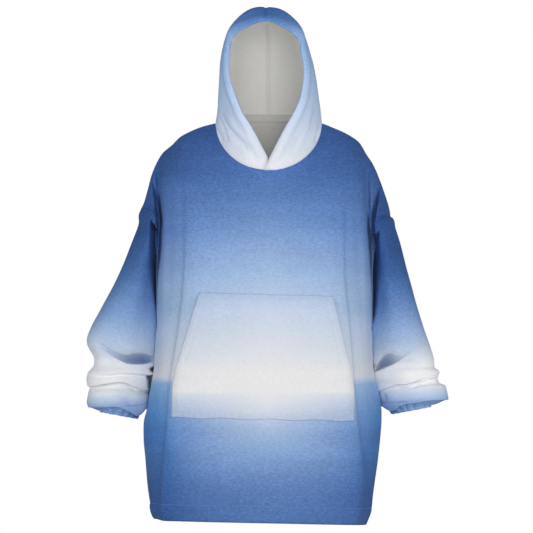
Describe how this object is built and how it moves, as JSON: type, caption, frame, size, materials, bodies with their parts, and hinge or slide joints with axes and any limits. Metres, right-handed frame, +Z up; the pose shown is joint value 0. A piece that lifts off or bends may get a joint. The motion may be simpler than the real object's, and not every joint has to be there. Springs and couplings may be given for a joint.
{
  "type": "hoodie",
  "caption": "Oversized pullover hoodie with dropped shoulders, wide pushed-up sleeves with gathered cuffs, a raised open hood and a front pouch pocket.",
  "frame": {"origin": "where the garment is held: in the middle of the neck, level with the line of the shoulders, inside the neck seam", "axes": "+Z up along the wearer's spine, -Y the front (pocket and face opening), +X the wearer's left side"},
  "size_m": [0.8398, 0.3604, 1.2071],
  "materials": {
    "front": "brushed fleece with a short matt nap, blue fading to off-white by height, unprinted pale grey wrong side",
    "back": "brushed fleece with a short matt nap, blue fading to off-white by height, unprinted pale grey wrong side",
    "sleeve_right": "brushed fleece with a short matt nap, blue fading to off-white by height, unprinted pale grey wrong side",
    "sleeve_left": "brushed fleece with a short matt nap, blue fading to off-white by height, unprinted pale grey wrong side",
    "cuff_right": "brushed fleece with a short matt nap, blue fading to off-white by height, unprinted pale grey wrong side",
    "cuff_left": "brushed fleece with a short matt nap, blue fading to off-white by height, unprinted pale grey wrong side",
    "hood_right": "brushed fleece with a short matt nap, blue fading to off-white by height, unprinted pale grey wrong side",
    "hood_left": "brushed fleece with a short matt nap, blue fading to off-white by height, unprinted pale grey wrong side",
    "pocket": "brushed fleece with a short matt nap, blue fading to off-white by height, unprinted pale grey wrong side",
    "neck_tape": "plain woven cotton tape, matt"
  },
  "bodies": {
    "root": {"front": "front", "back": "back", "sleeve_right": "sleeve_right", "sleeve_left": "sleeve_left", "cuff_right": "cuff_right", "cuff_left": "cuff_left", "hood_right": "hood_right", "hood_left": "hood_left", "pocket": "pocket", "neck_tape": "neck_tape"}
  },
  "joints": []
}
